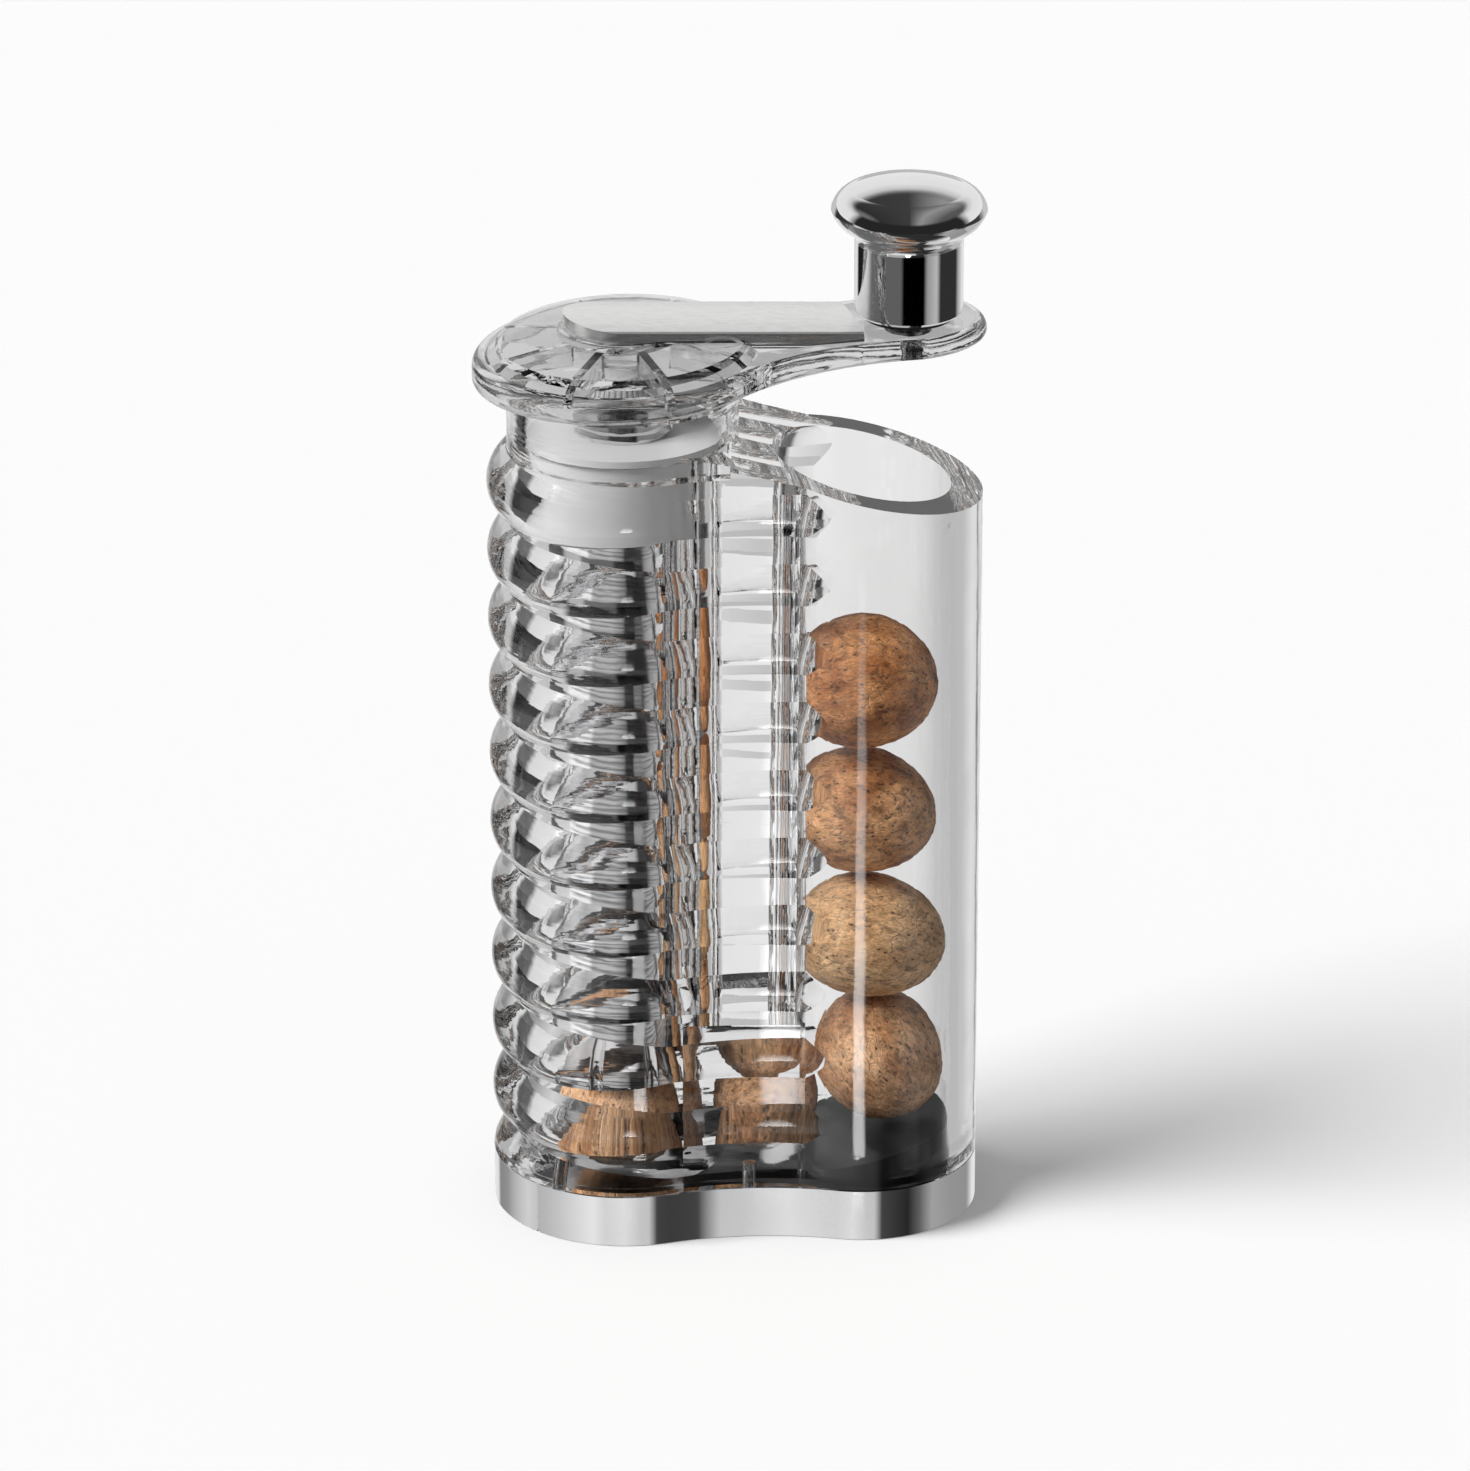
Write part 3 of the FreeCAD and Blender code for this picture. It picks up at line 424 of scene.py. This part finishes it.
def clear_acrylic(name, wave, strength, tone=1.0, level=0.0):
    """wave is the slow waves' fineness, strength their depth, level the share of the flow ripples."""
    material, tree, shader = new_material(name)
    shader.inputs["Base Color"].default_value = (tone, tone, tone, 1)
    shader.inputs["Roughness"].default_value = 0.0
    shader.inputs["IOR"].default_value = ACRYLIC_INDEX
    shader.inputs["Transmission Weight"].default_value = 1.0
    ripple = use_group(tree, waves, {"Slow": wave, "Grain": 1500.0, "Grain share": 0.02})
    height = ripple.outputs["Height"]
    if level:
        place = add(tree, "SeparateXYZ", {0: object_coords(tree, (1, 1, 1))})
        column = add(tree, "MapRange", {"Value": place.outputs["X"], "From Min": 0.019, "From Max": 0.013,
                                        "To Max": level})
        flow = add(tree, "TexNoise", {"Vector": object_coords(tree, (0.12, 0.12, 1.0)), "Scale": 620.0,
                                      "Detail": 2.0})
        height = add(tree, "Math", {0: flow.outputs["Fac"], 1: column.outputs["Result"], 2: height},
                     operation="MULTIPLY_ADD").outputs[0]
    bump = add(tree, "Bump", {"Height": height, "Strength": strength, "Distance": WAVE_DEPTH})
    tree.links.new(bump.outputs[0], shader.inputs["Normal"])
    rays = add(tree, "LightPath")
    soft = add(tree, "Math", {0: rays.outputs["Is Shadow Ray"], 1: rays.outputs["Is Diffuse Ray"]},
               operation="MAXIMUM")
    through = add(tree, "BsdfTransparent", {"Color": (*[FILM_CLEARNESS] * 3, 1)})
    both = add(tree, "MixShader", {0: soft.outputs[0], 1: shader.outputs[0], 2: through.outputs[0]})
    tree.links.new(both.outputs[0], tree.nodes["Material Output"].inputs["Surface"])
    return material


body_acrylic = clear_acrylic("body_acrylic", 110.0, 0.25, level=0.55)
crank_acrylic = clear_acrylic("crank_acrylic", 160.0, 0.3, 0.87)
scene.cycles.max_bounces = 32
scene.cycles.transmission_bounces = 32
scene.cycles.glossy_bounces = 12
scene.cycles.transparent_max_bounces = 32
scene.cycles.caustics_reflective = scene.cycles.caustics_refractive = False
scene.view_settings.view_transform = "Standard"
print("acrylic ready")

# %% [markdown]
# ## Metals
#
# Chrome is a mirror with faint handling marks. The spindle, screws and clips are plain steel with turned
# lines, the blade is rolled sheet. The hub's insert and the crank's bar are softened: their coating is only
# partly a metal's.

# %% Metals
LINE_DEPTH = 0.00002


def metal(name, colour, smooth, worn, size, lines=None, fineness=900.0, contrast=0.3):
    """smooth and worn are the roughness beside and in the marks, size the marks' fineness."""
    material, tree, shader = new_material(name)
    shader.inputs["Metallic"].default_value = 1.0
    marked = use_group(tree, marks, {"Smooth": smooth, "Worn": worn, "Size": size})
    tree.links.new(marked.outputs["Roughness"], shader.inputs["Roughness"])
    if lines:
        lined = use_group(tree, lines, {"Fineness": fineness, "Contrast": contrast})
        shade = lined.outputs["Shade"]
        bump = add(tree, "Bump", {"Height": lined.outputs["Lines"], "Strength": 0.4, "Distance": LINE_DEPTH})
        tree.links.new(bump.outputs[0], shader.inputs["Normal"])
    else:
        shade = add(tree, "MapRange", {"Value": marked.outputs["Marks"], "To Min": 1.0,
                                       "To Max": 0.93}).outputs[0]
    tint = add(tree, "Mix", {6: (0, 0, 0, 1), 7: (*colour, 1), 0: shade}, data_type="RGBA")
    tree.links.new(tint.outputs[2], shader.inputs["Base Color"])
    return material


chrome = metal("chrome_plate", (0.92, 0.92, 0.93), 0.02, 0.07, 45.0)
turned_steel = metal("turned_steel", (0.58, 0.58, 0.59), 0.2, 0.38, 150.0, turned_lines, 1500.0, 0.35)
polished_steel = metal("polished_steel", (0.86, 0.86, 0.87), 0.03, 0.09, 60.0)
spring_steel = metal("spring_steel", (0.5, 0.5, 0.51), 0.18, 0.35, 300.0, sheet_lines, 3000.0, 0.3)
blade_steel = metal("blade_steel", (0.66, 0.66, 0.67), 0.14, 0.3, 120.0, sheet_lines, 1800.0, 0.25)
insert_metal = metal("insert_metal", (0.9, 0.9, 0.9), 0.25, 0.4, 400.0, turned_lines, 2500.0, 0.15)
washer_steel = metal("washer_steel", (0.85, 0.85, 0.85), 0.12, 0.25, 200.0, turned_lines, 1800.0, 0.15)
satin_silver = metal("satin_silver", (0.95, 0.95, 0.94), 0.22, 0.28, 500.0, sheet_lines, 5200.0, 0.16)
for softened, share in ((insert_metal, 0.45), (satin_silver, 0.85)):
    softened.node_tree.nodes["Principled BSDF"].inputs["Metallic"].default_value = share
print("metals ready")

# %% [markdown]
# ## Plastics
#
# The plastics are satin mouldings with a fine grain: near black for the foot plate and the ramp, milky for the
# bush, pale for the knob's sleeve.

# %% Plastics
GRAIN_DEPTH, DUST_SHARE = 0.00008, 0.12


def plastic(name, colour, smooth, worn, grain, strength, lighter=0.3, gleam=0.5):
    """lighter is how pale the marks are, gleam the surface's specular level."""
    material, tree, shader = new_material(name)
    shader.inputs["Specular IOR Level"].default_value = gleam
    marked = use_group(tree, marks, {"Smooth": smooth, "Worn": worn, "Size": 90.0})
    tree.links.new(marked.outputs["Roughness"], shader.inputs["Roughness"])
    dusty = tuple(c + (1 - c) * DUST_SHARE * lighter for c in colour)
    tint = add(tree, "Mix", {0: marked.outputs["Marks"], 6: (*colour, 1), 7: (*dusty, 1)}, data_type="RGBA")
    tree.links.new(tint.outputs[2], shader.inputs["Base Color"])
    skin = use_group(tree, waves, {"Slow": 140.0, "Grain": grain, "Grain share": 0.6})
    bump = add(tree, "Bump", {"Height": skin.outputs["Height"], "Strength": strength, "Distance": GRAIN_DEPTH})
    tree.links.new(bump.outputs[0], shader.inputs["Normal"])
    return material


black_plastic = plastic("black_plastic", (0.008, 0.008, 0.009), 0.34, 0.5, 4200.0, 0.4, 0.1, 0.25)
holder_plastic = plastic("holder_plastic", (0.03, 0.03, 0.032), 0.32, 0.5, 3800.0, 0.4)
dark_washer = plastic("dark_washer", (0.03, 0.03, 0.03), 0.5, 0.7, 5200.0, 0.5)
milky_plastic = plastic("milky_plastic", (0.74, 0.74, 0.74), 0.3, 0.45, 3600.0, 0.15)
sleeve_plastic = plastic("sleeve_plastic", (0.78, 0.78, 0.76), 0.4, 0.55, 3600.0, 0.3)
print("plastics ready")

# %% [markdown]
# ## Carried-over parts
#
# Where the CAD solid already has the real shape, it stays and only gets its finish. The dressing is a plain
# table: one finish, and the nodes that wear it.

# %% Dress the CAD nodes
finishes = {
    body_acrylic: ["body_shell"],
    crank_acrylic: ["crank_arm"],
    satin_silver: ["arm_bar"],
    chrome: ["knob", "base_cap"],
    polished_steel: ["plunger_tube", "nutmeg_holder"],
    washer_steel: ["bush_washer", "stop_washer"],
    turned_steel: ["spindle", "retaining_clip", "holder_screw", "holder_prongs", "knob_pin", "knob_pin_clip",
                   "plate_screws"],
    blade_steel: ["blade_disc"],
    insert_metal: ["hub_insert"],
    dark_washer: ["knob_washer"],
    black_plastic: ["bottom_plate", "feed_ramp"],
    holder_plastic: ["spring_seat"],
    milky_plastic: ["top_bush"],
    sleeve_plastic: ["knob_sleeve"],
}
for finish, names in finishes.items():
    for name in names:
        for material_slot in nodes[name].material_slots:
            material_slot.material = finish
print("dressed:", sum(len(names) for names in finishes.values()), "nodes")

# %% [markdown]
# ## Nutmeg skin
#
# A dried nutmeg is brown, with fine fibres that run from pole to pole, short dark pits between them, and a net
# of thin cracks with pale dust in them. The colours and the fine relief come from noise that is stretched along
# the seed's own axis, so the streaks follow its shape. Each nutmeg gets its own pair of browns.

# %% Nutmeg skin group
skin_group, start, end = new_group(
    "nutmeg_skin", {"Dark": (0.2, 0.09, 0.04, 1), "Light": (0.5, 0.3, 0.15, 1), "Offset": 0.0},
    {"Color": "Color", "Height": "Float", "Roughness": "Float"})
base = add(skin_group, "TexCoord").outputs["Object"]
shift = add(skin_group, "VectorMath", {0: base, 1: start.outputs["Offset"]}, operation="ADD").outputs[0]


def stretched(scale):
    """The seed's coordinates, stretched along its axis."""
    return add(skin_group, "Mapping", {"Vector": shift, "Scale": scale}).outputs["Vector"]


def shade_by(colour, fac, stops):
    """Multiplies a colour by a grey ramp of an effect."""
    return add(skin_group, "Mix", {0: 1.0, 6: colour, 7: ramp(skin_group, fac, stops)}, data_type="RGBA",
               blend_type="MULTIPLY").outputs[2]


fibre = add(skin_group, "TexNoise", {"Vector": stretched((1, 1, 0.42)), "Scale": 2600.0, "Detail": 4.0,
                                     "Roughness": 0.7, "Distortion": 1.2}).outputs["Fac"]
veins = add(skin_group, "TexNoise", {"Vector": stretched((1, 1, 0.7)), "Scale": 760.0, "Detail": 5.0,
                                     "Roughness": 0.65, "Distortion": 0.8}).outputs["Fac"]
patches = add(skin_group, "TexNoise", {"Vector": shift, "Scale": 210.0, "Detail": 3.0}).outputs["Fac"]
wobble = add(skin_group, "Mix", {0: 0.0007, 6: shift, 7: add(
    skin_group, "TexNoise", {"Vector": shift, "Scale": 900.0}).outputs["Color"]}, data_type="RGBA").outputs[2]
cells = add(skin_group, "TexVoronoi", {"Vector": add(skin_group, "Mapping", {
    "Vector": wobble, "Scale": (1, 1, 0.5)}).outputs["Vector"], "Scale": 780.0}, feature="DISTANCE_TO_EDGE")
pits = add(skin_group, "TexVoronoi", {"Vector": stretched((1, 1, 0.5)), "Scale": 1500.0})
DUST, PIT = (0.74, 0.5, 0.33, 1), (0.085, 0.034, 0.016, 1)
brown = add(skin_group, "Mix", {0: ramp(skin_group, patches, [(0.36, 0.0), (0.64, 1.0)]),
                                6: start.outputs["Dark"], 7: start.outputs["Light"]}, data_type="RGBA").outputs[2]
brown = shade_by(brown, fibre, [(0.32, 0.5), (0.5, 0.95), (0.66, 1.25)])
brown = shade_by(brown, veins, [(0.36, 0.5), (0.5, 1.0), (0.7, 1.2)])
crack = add(skin_group, "Math", {0: ramp(skin_group, cells.outputs["Distance"], [(0.0, 1.0), (0.07, 0.0)]),
                                 1: ramp(skin_group, patches, [(0.4, 0.25), (0.6, 1.0)])},
            operation="MULTIPLY")
dusted = add(skin_group, "Mix", {0: ramp(skin_group, crack.outputs[0], [(0.2, 0.0), (1.0, 0.5)]), 6: brown,
                                 7: DUST}, data_type="RGBA").outputs[2]
pit_mask = add(skin_group, "Math", {0: ramp(skin_group, pits.outputs["Distance"], [(0.08, 1.0), (0.32, 0.0)]),
                                    1: ramp(skin_group, veins, [(0.45, 1.0), (0.6, 0.1)])},
               operation="MULTIPLY")
pitted = add(skin_group, "Mix", {0: pit_mask.outputs[0], 6: dusted, 7: PIT}, data_type="RGBA")
relief = add(skin_group, "Math", {0: fibre, 1: pit_mask.outputs[0]}, operation="SUBTRACT")
relief = add(skin_group, "Math", {0: relief.outputs[0], 1: veins}, operation="ADD")
relief = add(skin_group, "Math", {0: relief.outputs[0], 1: crack.outputs[0]}, operation="SUBTRACT")
dull = add(skin_group, "MapRange", {"Value": fibre, "To Min": 0.75, "To Max": 0.5})
skin_group.links.new(pitted.outputs[2], end.inputs["Color"])
skin_group.links.new(relief.outputs[0], end.inputs["Height"])
skin_group.links.new(dull.outputs["Result"], end.inputs["Roughness"])


def nutmeg_skin(name, dark, light, offset):
    material, tree, shader = new_material(name)
    skin = use_group(tree, skin_group, {"Dark": (*dark, 1), "Light": (*light, 1), "Offset": offset})
    bump = add(tree, "Bump", {"Height": skin.outputs["Height"], "Strength": 0.7, "Distance": 0.00012})
    tree.links.new(skin.outputs["Color"], shader.inputs["Base Color"])
    tree.links.new(skin.outputs["Roughness"], shader.inputs["Roughness"])
    tree.links.new(bump.outputs[0], shader.inputs["Normal"])
    shader.inputs["Specular IOR Level"].default_value = 0.35
    return material


print("nutmeg skin ready")

# %% [markdown]
# ## Nutmegs
#
# The seeds could be scaled spheres, but a real one is an uneven egg with a blunt end, shallow lumps and a net
# of wrinkles. Each starts as a fine icosphere, is pulled to its egg shape, and is then pressed inwards by
# noise: slow lumps, wrinkles along the axis, and a dent at the blunt pole. Pressing only inwards keeps it
# inside the CAD egg, so it can't touch its neighbours.

# %% Nutmeg meshes
MM = 0.001
LUMP_DEPTH, WRINKLE_DEPTH = 0.45 * MM, 0.16 * MM


def egg_reach(sizes, slant, side):
    """How far an egg reaches to one side along an axis on which its own axis has the component slant. It
    reaches further towards the point than towards the blunt end."""
    radius, blunt, point = (value * MM for value in sizes)
    length = point if side * slant > 0 else blunt
    return math.sqrt((radius * radius) * (1 - slant ** 2) + (length * slant) ** 2)


def nutmeg(node, body, sizes, lean, turn, dark, light, seed):
    """sizes: radius, blunt half and pointed half in mm. The centre follows from the CAD node's box."""
    radius, blunt, point = (value * MM for value in sizes)
    mesh = bmesh.new()
    bmesh.ops.create_icosphere(mesh, subdivisions=6, radius=1.0)
    shift = Vector((seed * 7.3, seed * 3.1, seed * 5.7))
    for vertex in mesh.verts:
        d = vertex.co.normalized()
        lump = noise.noise(d * 1.7 + shift)
        along = Vector((d.x * 5.2, d.y * 5.2, d.z * 2.2))
        wrinkle = abs(noise.noise(along * 1.6 + shift)) + 0.6 * abs(noise.noise(along * 3.4 - shift))
        dent = max(0.0, -d.z - 0.9) * 6
        pressed = (LUMP_DEPTH * (0.5 - 0.5 * lump) + WRINKLE_DEPTH * (1 - min(1.0, 1.6 * wrinkle))
                   + LUMP_DEPTH * dent)
        long_half = point if d.z > 0 else blunt
        outer = Vector((d.x * radius, d.y * radius, d.z * long_half))
        vertex.co = outer * (1 - pressed / outer.length)
    data = bpy.data.meshes.new(node + "_seed")
    mesh.to_mesh(data)
    data.shade_smooth()
    seed_piece = bpy.data.objects.new(node + "_seed", data)
    scene.collection.objects.link(seed_piece)
    tilt = Matrix.Rotation(math.radians(turn), 4, "Z") @ Matrix.Rotation(math.radians(lean), 4, "Y")
    low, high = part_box(node)
    middle = (low + high) / 2
    axis = tilt.to_3x3() @ Vector((0, 0, 1))
    centre = Vector([middle[i] - (egg_reach(sizes, axis[i], 1) - egg_reach(sizes, axis[i], -1)) / 2
                     for i in range(3)])
    seed_piece.matrix_world = Matrix.Translation(centre) @ tilt
    data.materials.append(nutmeg_skin(node + "_skin", dark, light, seed * 0.37))
    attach(seed_piece, body)
    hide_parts(node)
    return seed_piece


RED_BROWN = ((0.42, 0.15, 0.05), (0.84, 0.38, 0.15))
DEEP_BROWN = ((0.45, 0.19, 0.075), (0.86, 0.45, 0.21))
WARM_BROWN = ((0.5, 0.24, 0.11), (0.86, 0.5, 0.27))
TAN = ((0.62, 0.34, 0.155), (0.92, 0.57, 0.3))
nutmeg("nutmeg_milled", "crank", (9.2, 8.3, 8.9), 0, 0, *WARM_BROWN, 1)
nutmeg("nutmeg_feed", "mill_body", (7.8, 8.4, 8.9), 84, 0, *WARM_BROWN, 2)
nutmeg("nutmeg_store_1", "mill_body", (9.3, 9.6, 10.4), 146, 0, *WARM_BROWN, 3)
nutmeg("nutmeg_store_2", "mill_body", (9.0, 10.9, 11.4), 96, 0, *TAN, 4)
nutmeg("nutmeg_store_3", "mill_body", (9.1, 11.0, 11.0), 91, -10, *DEEP_BROWN, 5)
nutmeg("nutmeg_store_4", "mill_body", (9.6, 10.9, 10.9), 84, -8, *RED_BROWN, 6)
top_low, top_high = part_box("nutmeg_store_4")
print("top nutmeg's box:", [round(v / MM, 1) for v in top_high - top_low], "mm")

# %% [markdown]
# ## Feed spring
#
# A compression spring is round wire wound on a helix, with a closed turn at each end so that it stands flat.
# A curve with a bevel would do, but a soft piece that follows a joint must be a mesh, so the wire is swept in
# code: a small circle is placed square to the helix at each step. On the grater, pulling the crank up
# squashes the spring against the bush; here the wire is built at one length and doesn't squash.

# %% Feed spring
SPRING_RADIUS, WIRE_RADIUS, TURNS = 4.6 * MM, 0.45 * MM, 17
STEPS_A_TURN, WIRE_SIDES = 28, 10
CLOSED_TURNS, CLOSED_PITCH = 1.2, 2.1 * WIRE_RADIUS


def spring_height(share, low, high):
    """Height at a share of the turns. The end turns are wound close."""
    turn = share * TURNS
    open_pitch = (high - low - 2 * CLOSED_TURNS * CLOSED_PITCH) / (TURNS - 2 * CLOSED_TURNS)
    if turn < CLOSED_TURNS:
        return low + turn * CLOSED_PITCH
    if turn > TURNS - CLOSED_TURNS:
        return high - (TURNS - turn) * CLOSED_PITCH
    return low + CLOSED_TURNS * CLOSED_PITCH + (turn - CLOSED_TURNS) * open_pitch


def feed_spring():
    low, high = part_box("feed_spring")[0].z + WIRE_RADIUS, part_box("feed_spring")[1].z - WIRE_RADIUS
    mesh = bmesh.new()
    count = TURNS * STEPS_A_TURN
    rings = []
    for step in range(count + 1):
        angle = 2 * math.pi * step / STEPS_A_TURN
        outward = Vector((math.cos(angle), math.sin(angle), 0))
        middle = outward * SPRING_RADIUS + Vector((0, 0, spring_height(step / count, low, high)))
        rings.append([mesh.verts.new(middle + WIRE_RADIUS * (outward * math.cos(t)
                                                             + Vector((0, 0, math.sin(t)))))
                      for t in (2 * math.pi * k / WIRE_SIDES for k in range(WIRE_SIDES))])
    for a, b in zip(rings, rings[1:]):
        for k in range(WIRE_SIDES):
            mesh.faces.new((a[k - 1], a[k], b[k], b[k - 1]))
    mesh.faces.new(rings[0])
    mesh.faces.new(reversed(rings[-1]))
    bmesh.ops.recalc_face_normals(mesh, faces=mesh.faces)
    data = bpy.data.meshes.new("feed_spring_wire")
    mesh.to_mesh(data)
    data.shade_smooth()
    data.materials.append(spring_steel)
    spring = bpy.data.objects.new("feed_spring_wire", data)
    scene.collection.objects.link(spring)
    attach(spring, "mill_body")
    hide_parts("feed_spring")
    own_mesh(spring)
    return spring


spring = feed_spring()
print("spring:", len(spring.data.vertices), "points")
